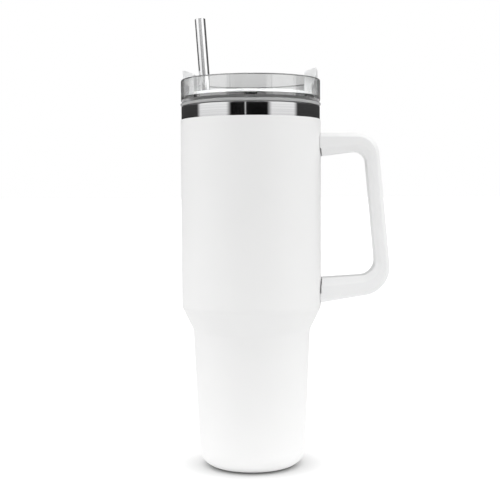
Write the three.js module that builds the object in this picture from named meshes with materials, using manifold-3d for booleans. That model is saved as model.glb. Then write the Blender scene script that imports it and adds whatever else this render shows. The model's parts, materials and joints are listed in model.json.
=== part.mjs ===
// An insulated steel tumbler with a side handle, a clear press-in lid with a rotating cover,
// and a steel straw.
//
// Millimetres, +Z up. The origin is the centre of the flat base. The handle is on the +X side
// and the straw leans towards -X. Profiles of turned pieces are lists of [radius, height].

import * as THREE from 'three';
import { mergeVertices } from 'three/addons/utils/BufferGeometryUtils.js';
import Module from 'manifold-3d';

const wasm = await Module();
wasm.setup();

// ---------------------------------------------------------------- driving dimensions

const GAP = 0.3;                  // space left between two pieces that touch
const ROUND = 48;                 // sides of a large turned piece
const SMALL_ROUND = 20;           // sides of a small one
const CHORD_ERROR = 0.12;         // how far a rounded corner's chords may cut inside its arc

// Steel body
const BODY_RADIUS = 50;           // upper body, over the coating
const COAT_TOP = 248.2;           // the coating stops here
const SHOULDER_TOP = 114.9;
const NECK_HEIGHT = 97.9;         // foot of the shoulder cone
const NECK_RADIUS = 41.9;
const FOOT_RADIUS = 37.6;         // the lower wall's taper, carried down to the base plane
const FOOT_CORNER = 12;
const SHOULDER_CORNER = 7;
const SHEET = 1;                  // thickness of the steel sheet
const BASE_OPENING = 26.1;        // hole in the shell's underside that the base cap fills

// Mouth
const BAND_RADIUS = 49.4;         // bare polished band between the coating and the lid
const BAND_TOP = 257.5;
const BAND_CORNER = 1.8;
const BORE_RADIUS = 45;           // inside of the liner
const LINER_TOP = 249.7;

// Liner
const LINER_FLOOR = 9;            // underside of the liner's floor
const LINER_FOOT_RADIUS = 34.4;
const LINER_NECK_RADIUS = 38.4;
const LINER_NECK_HEIGHT = 101;
const LINER_SHOULDER_TOP = 117.2;

// Handle, as corners in the X-Z plane
const HANDLE_WIDTH = 24;
const HANDLE_EDGE = 3.5;          // rounding along all its edges
const HANDLE_ROOT = 46;           // the arms are drawn to this X and cut back to the body
const UPPER_ARM_TOP = 238.5;      // these four are at HANDLE_ROOT
const UPPER_ARM_BOTTOM = 221.8;
const LOWER_ARM_TOP = 135;
const LOWER_ARM_BOTTOM = 117.2;

// Handle fixings
const SCREW_X = 56;
const SCREW_RADIUS = 1.5;
const HEAD_RADIUS = 3;
const BRACKET_END = 62;
const BRACKET_HALF_WIDTH = 5;

// Lid
const FLANGE_BOTTOM = BAND_TOP + GAP;
const FLANGE_TOP = 260.2;
const FLANGE_RADIUS = 50;
const LID_RADIUS = 49.6;
const LID_TOP = 276.3;
const LID_WALL = 2;
const DECK_BOTTOM = 261.2;
const DECK_TOP = 263.8;
const SKIRT_BOTTOM = 246;
const SKIRT_RADIUS = 43;
const SKIRT_WALL = 2;

// Straw
const STRAW_RADIUS = 3.75;
const STRAW_WALL = 0.5;
const STRAW_TOP = [-35.7, 320];   // X and Z of the centre of its upper end
const STRAW_FOOT_HEIGHT = LINER_FLOOR + SHEET + 0.6;
const STRAW_LEAN = 0.0706;        // X travelled for each millimetre of Z

// Rotating cover
const COVER_RADIUS = 44.5;
const COVER_BOTTOM = DECK_TOP + GAP;
const COVER_THICKNESS = 2.2;
const COVER_TOP = COVER_BOTTOM + COVER_THICKNESS;
const COVER_REST_TURN = -8;       // degrees, where the cover stands while the straw is in use
const COVER_TRAVEL = 60;          // degrees, from the straw position to the drinking position
const PIVOT_RADIUS = 3;
const OPENING_CIRCLE = 33;        // radius of the circle that the sip openings lie on
const SIP_HALF_WIDTH = 4.5;
const SIP_HALF_ANGLE = 10;        // degrees between the centre and an end arc's centre
const SEAL_MARGIN = 1.8;          // how far the seal reaches past the sip opening
const TAB_WIDTH = 18;             // of a finger tab, across the radius

// ---------------------------------------------------------------- materials

const finish = (color, roughness, metalness, extra = {}) =>
  new THREE.MeshStandardMaterial({ color, roughness, metalness, ...extra });

const whiteCoat = finish(0xf2f2f0, 0.45, 0);
const polishedSteel = finish(0xd4d5d6, 0.08, 1);
const brushedSteel = finish(0xb9bbbd, 0.32, 1);
const aluminiumFoil = finish(0xd9dadc, 0.25, 1);
const bareSteel = finish(0x9a9c9e, 0.4, 1);
const sealGlass = finish(0x6f7a74, 0.3, 0);
const whitePlastic = finish(0xefefed, 0.38, 0);
const clearPlastic = finish(0xf4f7f8, 0.04, 0, { transparent: true, opacity: 0.3 });
const frostedPlastic = finish(0xf3f5f5, 0.3, 0, { transparent: true, opacity: 0.75 });
const silicone = finish(0xe2e4e4, 0.5, 0, { transparent: true, opacity: 0.85 });

// ---------------------------------------------------------------- shape helpers

const radians = THREE.MathUtils.degToRad;

// Corners [a, b, radius] as points, with an arc in place of each corner that has a radius.
function rounded(corners) {
  const points = [];
  corners.forEach(([a, b, radius = 0], i) => {
    const corner = new THREE.Vector2(a, b);
    if (!radius) {
      points.push(corner);
      return;
    }
    const previous = corners.at(i - 1);
    const next = corners[(i + 1) % corners.length];
    const back = new THREE.Vector2(previous[0], previous[1]).sub(corner).normalize();
    const ahead = new THREE.Vector2(next[0], next[1]).sub(corner).normalize();
    const half = back.angleTo(ahead) / 2;
    const inward = back.clone().add(ahead).normalize();
    const centre = corner.clone().addScaledVector(inward, radius / Math.sin(half));
    const start = corner.clone().addScaledVector(back, radius / Math.tan(half)).sub(centre);
    const sweep = -Math.sign(back.cross(ahead)) * (Math.PI - 2 * half);
    const step = 2 * Math.acos(1 - CHORD_ERROR / radius);
    const steps = Math.ceil(Math.abs(sweep) / step);
    for (let k = 0; k <= steps; k += 1) {
      points.push(start.clone().rotateAround(new THREE.Vector2(), (sweep * k) / steps).add(centre));
    }
  });
  return points;
}

// A geometry with shared vertices and no flattened triangles, which holds only positions.
function welded(geometry) {
  const bare = geometry.clone();
  bare.deleteAttribute('normal');
  bare.deleteAttribute('uv');
  const merged = mergeVertices(bare, 1e-4);
  const index = merged.index.array;
  const kept = [];
  for (let t = 0; t < index.length; t += 3) {
    const [a, b, c] = index.slice(t, t + 3);
    if (a !== b && b !== c && c !== a) kept.push(a, b, c);
  }
  merged.setIndex(kept);
  return merged;
}

// A turned solid about Z. A profile that leaves the axis is closed on itself.
function turned(corners, segments = ROUND) {
  const profile = rounded(corners);
  if (profile[0].x > 0) profile.push(profile[0].clone());
  return welded(new THREE.LatheGeometry(profile, segments).rotateX(Math.PI / 2));
}

// A round bar or cutter along Z.
const bar = (radius, bottom, top, segments = SMALL_ROUND) =>
  turned([[0, bottom], [radius, bottom], [radius, top], [0, top]], segments);

// A block between two opposite corners.
function block([x0, y0, z0], [x1, y1, z1]) {
  const box = new THREE.BoxGeometry(x1 - x0, y1 - y0, z1 - z0);
  return welded(box.translate((x0 + x1) / 2, (y0 + y1) / 2, (z0 + z1) / 2));
}

// A flat slot that follows a circle about Z, with round ends, as a solid from bottom to top.
function arcSlot(radius, halfWidth, fromDegrees, toDegrees, bottom, top) {
  const [from, to] = [radians(fromDegrees), radians(toDegrees)];
  const end = (angle) => [radius * Math.cos(angle), radius * Math.sin(angle)];
  const shape = new THREE.Shape();
  shape.absarc(0, 0, radius + halfWidth, from, to, false);
  shape.absarc(...end(to), halfWidth, to, to + Math.PI, false);
  shape.absarc(0, 0, radius - halfWidth, to, from, true);
  shape.absarc(...end(from), halfWidth, from + Math.PI, from + 2 * Math.PI, false);
  const settings = { depth: top - bottom, bevelEnabled: false, curveSegments: 8 };
  return welded(new THREE.ExtrudeGeometry(shape, settings).translate(0, 0, bottom));
}

function solid(geometry) {
  const vertProperties = new Float32Array(geometry.attributes.position.array);
  const triVerts = new Uint32Array(geometry.index.array);
  return new wasm.Manifold(new wasm.Mesh({ numProp: 3, vertProperties, triVerts }));
}

function geometryOf(manifold) {
  const mesh = manifold.getMesh();
  const geometry = new THREE.BufferGeometry();
  geometry.setAttribute('position', new THREE.BufferAttribute(mesh.vertProperties, 3));
  geometry.setIndex(new THREE.BufferAttribute(mesh.triVerts, 1));
  return geometry;
}

const cut = (geometry, ...cutters) =>
  geometryOf(cutters.reduce((left, cutter) => left.subtract(solid(cutter)), solid(geometry)));

const joined = (geometry, ...others) =>
  geometryOf(others.reduce((whole, other) => whole.add(solid(other)), solid(geometry)));

// ---------------------------------------------------------------- steel body

const bodyClearance = () => bar(BODY_RADIUS + GAP, 100, COAT_TOP, ROUND);

const outerShell = () => turned([
  [BASE_OPENING, 0],
  [FOOT_RADIUS, 0, FOOT_CORNER],
  [NECK_RADIUS, NECK_HEIGHT, SHOULDER_CORNER],
  [BODY_RADIUS, SHOULDER_TOP, SHOULDER_CORNER],
  [BODY_RADIUS, COAT_TOP],
  [BODY_RADIUS - SHEET, COAT_TOP],
  [BODY_RADIUS - SHEET, SHOULDER_TOP, SHOULDER_CORNER - SHEET],
  [NECK_RADIUS - SHEET, NECK_HEIGHT, SHOULDER_CORNER + SHEET],
  [FOOT_RADIUS - SHEET, SHEET, FOOT_CORNER - SHEET],
  [BASE_OPENING, SHEET],
]);

// A folded channel, open below, that closes the top of the two walls.
const mouthRing = () => turned([
  [BAND_RADIUS, COAT_TOP + GAP],
  [BAND_RADIUS, BAND_TOP, BAND_CORNER],
  [BORE_RADIUS, BAND_TOP, BAND_CORNER],
  [BORE_RADIUS, LINER_TOP + GAP],
  [BORE_RADIUS + SHEET, LINER_TOP + GAP],
  [BORE_RADIUS + SHEET, BAND_TOP - SHEET],
  [BAND_RADIUS - SHEET, BAND_TOP - SHEET],
  [BAND_RADIUS - SHEET, COAT_TOP + GAP],
]);

const innerLiner = () => turned([
  [0, LINER_FLOOR],
  [LINER_FOOT_RADIUS, LINER_FLOOR, FOOT_CORNER],
  [LINER_NECK_RADIUS, LINER_NECK_HEIGHT, SHOULDER_CORNER],
  [BORE_RADIUS + SHEET, LINER_SHOULDER_TOP, SHOULDER_CORNER],
  [BORE_RADIUS + SHEET, LINER_TOP],
  [BORE_RADIUS, LINER_TOP],
  [BORE_RADIUS, LINER_SHOULDER_TOP, SHOULDER_CORNER - SHEET],
  [LINER_NECK_RADIUS - SHEET, LINER_NECK_HEIGHT, SHOULDER_CORNER + SHEET],
  [LINER_FOOT_RADIUS - SHEET, LINER_FLOOR + SHEET, FOOT_CORNER - SHEET],
  [0, LINER_FLOOR + SHEET],
]);

// A sleeve of foil wrapped round the upper part of the liner, inside the vacuum.
function reflectiveFoil() {
  const inside = BORE_RADIUS + SHEET + GAP;
  const outside = inside + 0.3;
  return turned([[inside, 122], [outside, 122], [outside, 244], [inside, 244]]);
}

// The welded bottom of the vacuum space, with a dimple round its evacuation hole.
const DIMPLE = { bottom: 2.4, rise: 2, radius: 9, hole: 1.5 };

function vacuumBase() {
  const { bottom, rise, radius, hole } = DIMPLE;
  const rim = 33.6;
  return turned([
    [hole, bottom],
    [radius, bottom],
    [radius + rise, bottom + rise],
    [rim, bottom + rise],
    [rim, bottom + rise + SHEET],
    [radius + rise - 0.4, bottom + rise + SHEET],
    [radius - 0.4, bottom + SHEET],
    [hole, bottom + SHEET],
  ]);
}

const vacuumSeal = () => turned([
  [0, 1.5],
  [3, 1.5],
  [3, DIMPLE.bottom - GAP],
  [DIMPLE.hole - GAP, DIMPLE.bottom - GAP],
  [DIMPLE.hole - GAP, DIMPLE.bottom + SHEET],
  [0, DIMPLE.bottom + SHEET],
], SMALL_ROUND);

// A ring of gas-absorbing metal that keeps the vacuum, lying beside the dimple.
function getter() {
  const bottom = DIMPLE.bottom + DIMPLE.rise + SHEET + GAP;
  const ring = turned([[2, bottom], [4.5, bottom], [4.5, bottom + 1.6], [2, bottom + 1.6]], SMALL_ROUND);
  return ring.translate(19, 0, 0);
}

const BASE_CAP_RADIUS = BASE_OPENING - GAP;

const baseCap = () => turned([
  [0, 0],
  [BASE_CAP_RADIUS, 0, 0.6],
  [BASE_CAP_RADIUS, 3],
  [BASE_CAP_RADIUS - 0.8, 3],
  [BASE_CAP_RADIUS - 0.8, 1],
  [0, 1],
]);

// ---------------------------------------------------------------- handle

// Heights of each arm's fixings, from the plug in the underside up to the end of the screw.
const fixings = {
  upper: { plug: 223.7, head: 225.3, bracket: [229, 235.2], tip: 232.5 },
  lower: { plug: 119.7, head: 121.5, bracket: [125.2, 131.6], tip: 128.8 },
};
const HEAD_HEIGHT = 2;

const atScrew = (geometry) => geometry.translate(SCREW_X, 0, 0);

function bracket({ bracket: [bottom, top], tip }) {
  const body = block(
    [HANDLE_ROOT, -BRACKET_HALF_WIDTH, bottom],
    [BRACKET_END, BRACKET_HALF_WIDTH, top],
  );
  const thread = atScrew(bar(SCREW_RADIUS + GAP, bottom - 1, tip + 0.5));
  return cut(body, bodyClearance(), thread);
}

const screw = ({ head, tip }) => atScrew(turned([
  [0, head],
  [HEAD_RADIUS, head, 0.6],
  [HEAD_RADIUS, head + HEAD_HEIGHT],
  [SCREW_RADIUS, head + HEAD_HEIGHT],
  [SCREW_RADIUS, tip],
  [0, tip],
], SMALL_ROUND));

const screwPlug = ({ plug, head }) => atScrew(turned([
  [0, plug],
  [HEAD_RADIUS, plug, 0.5],
  [HEAD_RADIUS, head - GAP],
  [0, head - GAP],
], SMALL_ROUND));

// The bracket's socket, the screw's hole and the wider bore for its head and plug.
function fixingCuts({ plug, head, bracket: [bottom, top] }) {
  const reach = BRACKET_HALF_WIDTH + GAP;
  return [
    block([HANDLE_ROOT - 1, -reach, bottom - GAP], [BRACKET_END + GAP, reach, top + GAP]),
    atScrew(bar(SCREW_RADIUS + GAP, head, bottom + 1)),
    atScrew(bar(HEAD_RADIUS + GAP, plug - 5, head + HEAD_HEIGHT + GAP)),
  ];
}

function handle() {
  const outline = new THREE.Shape(rounded([
    [HANDLE_ROOT, LOWER_ARM_BOTTOM],
    [100.3, 126, 20.4],
    [89.7, 238, 16],
    [HANDLE_ROOT, UPPER_ARM_TOP],
    [HANDLE_ROOT, UPPER_ARM_BOTTOM],
    [81.6, 226.1, 8],
    [89.7, 137.5, 11],
    [HANDLE_ROOT, LOWER_ARM_TOP],
  ]));
  const blank = new THREE.ExtrudeGeometry(outline, {
    depth: HANDLE_WIDTH - 2 * HANDLE_EDGE,
    bevelThickness: HANDLE_EDGE,
    bevelSize: HANDLE_EDGE,
    bevelOffset: -HANDLE_EDGE,
    bevelSegments: 3,
  });
  blank.translate(0, 0, HANDLE_EDGE - HANDLE_WIDTH / 2).rotateX(Math.PI / 2);
  return cut(welded(blank), bodyClearance(), ...Object.values(fixings).flatMap(fixingCuts));
}

// ---------------------------------------------------------------- straw

const strawX = (height) => STRAW_TOP[0] + STRAW_LEAN * (STRAW_TOP[1] - height);

// A tube that stands on its own origin, along Z.
function straw() {
  const length = (STRAW_TOP[1] - STRAW_FOOT_HEIGHT) * Math.hypot(1, STRAW_LEAN);
  const inside = STRAW_RADIUS - STRAW_WALL;
  return turned([[inside, 0], [STRAW_RADIUS, 0], [STRAW_RADIUS, length], [inside, length]], SMALL_ROUND);
}

// ---------------------------------------------------------------- lid

const GROMMET = { hole: 4.3, neck: 5.4, lip: 7.3, bottom: 259 };
const grommetX = strawX((GROMMET.bottom + DECK_TOP) / 2);

function lidBody() {
  const inside = SKIRT_RADIUS - SKIRT_WALL;
  const body = turned([
    [PIVOT_RADIUS + GAP, DECK_BOTTOM],
    [inside, DECK_BOTTOM],
    [inside, SKIRT_BOTTOM],
    [SKIRT_RADIUS + 1.2, SKIRT_BOTTOM, 0.6],
    [SKIRT_RADIUS + 1.2, SKIRT_BOTTOM + 2],
    [SKIRT_RADIUS, SKIRT_BOTTOM + 2.4],
    [SKIRT_RADIUS, FLANGE_BOTTOM],
    [FLANGE_RADIUS, FLANGE_BOTTOM, 0.9],
    [FLANGE_RADIUS, FLANGE_TOP, 0.9],
    [LID_RADIUS - 0.3, FLANGE_TOP + 0.1],
    [LID_RADIUS, FLANGE_TOP + 0.6],
    [LID_RADIUS, LID_TOP, 0.8],
    [LID_RADIUS - LID_WALL, LID_TOP, 0.8],
    [LID_RADIUS - LID_WALL, DECK_TOP],
    [PIVOT_RADIUS + GAP, DECK_TOP],
  ]);
  const strawHole = bar(GROMMET.neck + GAP, DECK_BOTTOM - 2, DECK_TOP + 2).translate(grommetX, 0, 0);
  const sipHole = arcSlot(
    OPENING_CIRCLE, SIP_HALF_WIDTH, -SIP_HALF_ANGLE, SIP_HALF_ANGLE, DECK_BOTTOM - 2, DECK_TOP + 2,
  );
  return cut(body, strawHole, sipHole);
}

// A soft ring on the skirt, with three fins that grip the liner.
function lidGasket() {
  const inside = SKIRT_RADIUS + GAP;
  const web = 44.1;
  const fin = BORE_RADIUS - GAP;
  const bottom = SKIRT_BOTTOM + 2.8;
  const top = FLANGE_BOTTOM - GAP - 1.6;
  const pitch = (top - bottom) / 3;
  const corners = [[inside, bottom], [web, bottom]];
  for (let k = 0; k < 3; k += 1) {
    const middle = bottom + pitch * (k + 0.5);
    corners.push([web, middle - 0.6], [fin, middle + 0.2], [web, middle + 0.8]);
  }
  return turned([...corners, [web, top], [inside, top]]);
}

const strawGrommet = () => turned([
  [GROMMET.hole, GROMMET.bottom],
  [GROMMET.lip, GROMMET.bottom],
  [GROMMET.lip, DECK_BOTTOM - GAP],
  [GROMMET.neck, DECK_BOTTOM - GAP],
  [GROMMET.neck, DECK_TOP],
  [GROMMET.hole, DECK_TOP],
], SMALL_ROUND).translate(grommetX, 0, 0);

// A snap rivet through the deck and the cover, with a domed head.
const coverPivot = () => turned([
  [0, DECK_BOTTOM - 2.6],
  [PIVOT_RADIUS - 0.4, DECK_BOTTOM - 2.6],
  [PIVOT_RADIUS + 1.2, DECK_BOTTOM - 1.2],
  [PIVOT_RADIUS + 1.2, DECK_BOTTOM - GAP],
  [PIVOT_RADIUS, DECK_BOTTOM - GAP],
  [PIVOT_RADIUS, COVER_TOP + GAP],
  [7, COVER_TOP + GAP],
  [7, COVER_TOP + 1],
  [4.6, COVER_TOP + 1.9],
  [0, COVER_TOP + 2.2],
], SMALL_ROUND);

// ---------------------------------------------------------------- rotating cover

// Angles below are in the cover's own frame, where its finger tabs stand at 0 and 180 degrees.
const STRAW_ANGLE = 180 - COVER_REST_TURN;
const SIP_ANGLE = -COVER_REST_TURN;
const SEAL_THICKNESS = 0.9;

// An upright plate on the disc, whose head leans out over the rim of the lid and rises outwards.
function fingerTab(angle) {
  const [inside, outside, headOutside] = [39.3, 43.2, 47.5];
  const shape = new THREE.Shape(rounded([
    [inside, COVER_TOP - 1],
    [outside, COVER_TOP - 1],
    [outside, LID_TOP - 4.8],
    [headOutside, LID_TOP + 1.7],
    [headOutside, LID_TOP + 7.9, 0.6],
    [inside, LID_TOP + 4.6, 0.6],
  ]));
  const blade = new THREE.ExtrudeGeometry(shape, {
    depth: TAB_WIDTH - 2,
    bevelThickness: 1,
    bevelSize: 0.6,
    bevelOffset: -0.6,
    bevelSegments: 1,
  });
  blade.translate(0, 0, 1 - TAB_WIDTH / 2).rotateX(Math.PI / 2).rotateZ(radians(angle));
  return welded(blade);
}

function rotatingCover() {
  const disc = turned([
    [PIVOT_RADIUS + GAP, COVER_BOTTOM],
    [COVER_RADIUS, COVER_BOTTOM],
    [COVER_RADIUS, COVER_TOP],
    [PIVOT_RADIUS + GAP, COVER_TOP],
  ]);
  const strawSlot = arcSlot(
    -strawX(COVER_BOTTOM), STRAW_RADIUS + 0.9,
    STRAW_ANGLE - COVER_TRAVEL - 2, STRAW_ANGLE + 2,
    COVER_BOTTOM - 1, COVER_TOP + 1,
  );
  const sipWindow = arcSlot(
    OPENING_CIRCLE, SIP_HALF_WIDTH + 0.5,
    SIP_ANGLE - COVER_TRAVEL - SIP_HALF_ANGLE, SIP_ANGLE - COVER_TRAVEL + SIP_HALF_ANGLE,
    COVER_BOTTOM - 1, COVER_TOP + 1,
  );
  const sealPocket = arcSlot(
    OPENING_CIRCLE, SIP_HALF_WIDTH + SEAL_MARGIN + GAP,
    SIP_ANGLE - SIP_HALF_ANGLE, SIP_ANGLE + SIP_HALF_ANGLE,
    COVER_BOTTOM - 1, COVER_BOTTOM + SEAL_THICKNESS + GAP,
  );
  return cut(joined(disc, fingerTab(0), fingerTab(180)), strawSlot, sipWindow, sealPocket);
}

const coverSeal = () => arcSlot(
  OPENING_CIRCLE, SIP_HALF_WIDTH + SEAL_MARGIN,
  SIP_ANGLE - SIP_HALF_ANGLE, SIP_ANGLE + SIP_HALF_ANGLE,
  COVER_BOTTOM, COVER_BOTTOM + SEAL_THICKNESS,
);

// ---------------------------------------------------------------- assembly

function piece(name, geometry, material) {
  const mesh = new THREE.Mesh(geometry, material);
  mesh.name = name;
  return mesh;
}

const vessel = new THREE.Group();
vessel.add(
  piece('outer_shell', outerShell(), whiteCoat),
  piece('mouth_ring', mouthRing(), polishedSteel),
  piece('inner_liner', innerLiner(), brushedSteel),
  piece('reflective_foil', reflectiveFoil(), aluminiumFoil),
  piece('vacuum_base', vacuumBase(), bareSteel),
  piece('vacuum_seal', vacuumSeal(), sealGlass),
  piece('getter', getter(), bareSteel),
  piece('base_cap', baseCap(), brushedSteel),
  piece('handle', handle(), whitePlastic),
);
for (const [arm, heights] of Object.entries(fixings)) {
  vessel.add(
    piece(`${arm}_bracket`, bracket(heights), bareSteel),
    piece(`${arm}_screw`, screw(heights), polishedSteel),
    piece(`${arm}_screw_plug`, screwPlug(heights), whitePlastic),
  );
}

const lid = new THREE.Group();
lid.add(
  piece('lid_body', lidBody(), clearPlastic),
  piece('lid_gasket', lidGasket(), silicone),
  piece('straw_grommet', strawGrommet(), silicone),
  piece('cover_pivot', coverPivot(), frostedPlastic),
);

const cover = new THREE.Group();
cover.rotation.z = radians(COVER_REST_TURN);
cover.add(
  piece('rotating_cover', rotatingCover(), frostedPlastic),
  piece('cover_seal', coverSeal(), silicone),
);

const leaningStraw = new THREE.Group();
leaningStraw.position.set(strawX(STRAW_FOOT_HEIGHT), 0, STRAW_FOOT_HEIGHT);
leaningStraw.rotation.y = -Math.atan(STRAW_LEAN);
leaningStraw.add(piece('straw', straw(), polishedSteel));

const tumbler = new THREE.Group();
tumbler.add(vessel, lid, cover, leaningStraw);

export default tumbler;
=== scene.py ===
"""Looks for an insulated tumbler with a handle, a clear lid, a rotating cover and a steel straw.

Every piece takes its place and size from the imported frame. Lengths are metres. MM turns the
small sizes of edges and details, which the frame doesn't hold, into metres.
"""

import json
import math

import bmesh
import bpy
from mathutils import Matrix, Vector


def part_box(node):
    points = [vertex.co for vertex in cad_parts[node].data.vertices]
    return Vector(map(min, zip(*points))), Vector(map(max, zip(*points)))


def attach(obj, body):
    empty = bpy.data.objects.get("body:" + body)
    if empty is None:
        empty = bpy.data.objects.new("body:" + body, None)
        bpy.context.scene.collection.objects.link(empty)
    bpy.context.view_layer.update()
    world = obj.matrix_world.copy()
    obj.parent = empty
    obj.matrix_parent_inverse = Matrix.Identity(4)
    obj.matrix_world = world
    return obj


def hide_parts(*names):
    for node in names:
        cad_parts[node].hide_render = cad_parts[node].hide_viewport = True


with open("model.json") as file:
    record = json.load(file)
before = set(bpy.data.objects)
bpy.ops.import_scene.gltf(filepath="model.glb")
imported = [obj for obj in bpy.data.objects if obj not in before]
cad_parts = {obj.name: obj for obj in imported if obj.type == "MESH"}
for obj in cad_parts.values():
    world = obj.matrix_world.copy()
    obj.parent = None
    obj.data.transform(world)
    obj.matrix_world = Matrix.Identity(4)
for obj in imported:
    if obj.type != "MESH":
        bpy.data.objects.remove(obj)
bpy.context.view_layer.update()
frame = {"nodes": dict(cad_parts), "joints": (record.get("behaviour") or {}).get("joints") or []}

MM = 0.001
TURNS = 160  # sides of a large turned piece
SMALL_TURNS = 48

# ------------------------------------------------------------------ sizes from the frame

SHELL_LOW, SHELL_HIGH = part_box("outer_shell")
BAND_LOW, BAND_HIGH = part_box("mouth_ring")
LINER_LOW, LINER_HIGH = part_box("inner_liner")
CAP_LOW, CAP_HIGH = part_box("base_cap")
HANDLE_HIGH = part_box("handle")[1]
LID_LOW, LID_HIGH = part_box("lid_body")
GASKET_LOW, GASKET_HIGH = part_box("lid_gasket")
GROMMET_LOW, GROMMET_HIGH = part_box("straw_grommet")
PIVOT_LOW, PIVOT_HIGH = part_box("cover_pivot")
COVER_LOW, COVER_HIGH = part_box("rotating_cover")
SEAL_LOW, SEAL_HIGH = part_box("cover_seal")
STRAW_LOW, STRAW_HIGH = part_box("straw")
JOINTS = {joint["name"]: joint for joint in frame["joints"]}

BODY_RADIUS = SHELL_HIGH.x
COAT_TOP = SHELL_HIGH.z
SHEET = 1.0 * MM
SHOULDER_TOP = 114.9 * MM
NECK_HEIGHT = 97.9 * MM
NECK_RADIUS = 41.9 * MM
FOOT_RADIUS = 37.6 * MM
FOOT_CORNER = 12 * MM
SHOULDER_CORNER = 7 * MM
BAND_RADIUS = BAND_HIGH.x
BORE_RADIUS = LINER_HIGH.x - SHEET
CAP_RADIUS = CAP_HIGH.x
DECK_TOP = COVER_LOW.z - 0.3 * MM
DECK_BOTTOM = DECK_TOP - 2.6 * MM

# ------------------------------------------------------------------ geometry helpers


def rounded(corners, step=math.radians(9)):
    """Corners (a, b) or (a, b, radius) of a closed outline as points, with arcs in place of the corners."""
    points = []
    for i, corner in enumerate(corners):
        here = Vector(corner[:2])
        radius = corner[2] if len(corner) > 2 else 0
        if not radius:
            points.append(here)
            continue
        back = (Vector(corners[i - 1][:2]) - here).normalized()
        ahead = (Vector(corners[(i + 1) % len(corners)][:2]) - here).normalized()
        half = back.angle(ahead) / 2
        centre = here + (back + ahead).normalized() * radius / math.sin(half)
        start = here + back * radius / math.tan(half) - centre
        turn = math.copysign(math.pi - 2 * half, ahead.cross(back))
        steps = max(2, math.ceil(abs(turn) / step))
        for k in range(steps + 1):
            points.append(centre + Matrix.Rotation(turn * k / steps, 2) @ start)
    return points


def supported(points, margin):
    """The same closed outline with an extra point near both ends of each long straight stretch."""
    result = []
    for i, here in enumerate(points):
        following = points[(i + 1) % len(points)]
        result.append(here)
        along = following - here
        if along.length > 4 * margin:
            result.append(here + along.normalized() * margin)
            result.append(following - along.normalized() * margin)
    return result


def mesh_object(name, bm):
    bmesh.ops.recalc_face_normals(bm, faces=bm.faces)
    mesh = bpy.data.meshes.new(name)
    bm.to_mesh(mesh)
    bm.free()
    piece = bpy.data.objects.new(name, mesh)
    bpy.context.scene.collection.objects.link(piece)
    return piece


def apply_modifiers(piece):
    """The piece with its modifiers made part of its mesh."""
    bpy.context.view_layer.update()
    evaluated = piece.evaluated_get(bpy.context.evaluated_depsgraph_get())
    mesh = bpy.data.meshes.new_from_object(evaluated)
    old = piece.data
    piece.modifiers.clear()
    piece.data = mesh
    mesh.name = old.name
    bpy.data.meshes.remove(old)
    return piece


def smooth(piece, angle=35):
    """Smooth shading with sharp edges past the angle, and normals that follow the larger faces."""
    piece.data.shade_smooth()
    piece.data.set_sharp_from_angle(angle=math.radians(angle))
    weighted = piece.modifiers.new("weighted_normals", "WEIGHTED_NORMAL")
    weighted.keep_sharp = True
    return apply_modifiers(piece)


def turned(name, outline, sides=TURNS):
    """A turned solid about Z from a closed outline of (radius, height) points."""
    bm = bmesh.new()
    rings = []
    for radius, height in outline:
        if radius < 1e-7:
            rings.append([bm.verts.new((0, 0, height))])
            continue
        angles = (2 * math.pi * k / sides for k in range(sides))
        rings.append([bm.verts.new((radius * math.cos(a), radius * math.sin(a), height)) for a in angles])
    for ring, following in zip(rings, rings[1:] + rings[:1]):
        if len(ring) == 1 and len(following) == 1:
            continue
        for k in range(sides):
            corners = (
                ring[k % len(ring)],
                ring[(k + 1) % sides % len(ring)],
                following[(k + 1) % sides % len(following)],
                following[k % len(following)],
            )
            bm.faces.new(dict.fromkeys(corners))
    bmesh.ops.delete(bm, geom=[vert for vert in bm.verts if not vert.link_faces], context="VERTS")
    return mesh_object(name, bm)


def turned_piece(name, corners, sides=TURNS, margin=0.6 * MM, angle=35):
    return smooth(turned(name, supported(rounded(corners), margin), sides), angle)


def carve(piece, cutters, operation="DIFFERENCE"):
    """piece with each cutter taken away, or joined on, and the cutters removed."""
    for cutter in cutters:
        modifier = piece.modifiers.new("carve", "BOOLEAN")
        modifier.operation = operation
        modifier.solver = "MANIFOLD"
        modifier.object = cutter
        apply_modifiers(piece)
        bpy.data.objects.remove(cutter)
    return piece


def bar(radius, low, high, centre=(0, 0), sides=SMALL_TURNS):
    """A plain round cutter along Z."""
    piece = turned("cutter", [Vector(p) for p in ((0, low), (radius, low), (radius, high), (0, high))], sides)
    piece.data.transform(Matrix.Translation((centre[0], centre[1], 0)))
    return piece


def block(low, high):
    """A plain box cutter between two opposite corners."""
    bm = bmesh.new()
    bmesh.ops.create_cube(bm, size=1)
    low, high = Vector(low), Vector(high)
    for vert in bm.verts:
        vert.co = (low + high) / 2 + Vector(c * s for c, s in zip(vert.co, high - low))
    return mesh_object("cutter", bm)


def arc_slot(radius, half_width, start, end, steps=20):
    """Outline of a slot with round ends that follows a circle, between two angles in radians."""
    points = []
    for k in range(steps + 1):
        angle = start + (end - start) * k / steps
        points.append(Vector((math.cos(angle), math.sin(angle))) * (radius + half_width))
    for centre_angle, first in ((end, end), (start, start + math.pi)):
        centre = Vector((math.cos(centre_angle), math.sin(centre_angle))) * radius
        for k in range(1, steps):
            angle = first + math.pi * k / steps
            points.append(centre + Vector((math.cos(angle), math.sin(angle))) * half_width)
        if centre_angle == end:
            for k in range(steps + 1):
                angle = end + (start - end) * k / steps
                points.append(Vector((math.cos(angle), math.sin(angle))) * (radius - half_width))
    return points


def circle(radius, sides=TURNS):
    angles = (2 * math.pi * k / sides for k in range(sides))
    return [Vector((math.cos(a), math.sin(a))) * radius for a in angles]


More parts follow.
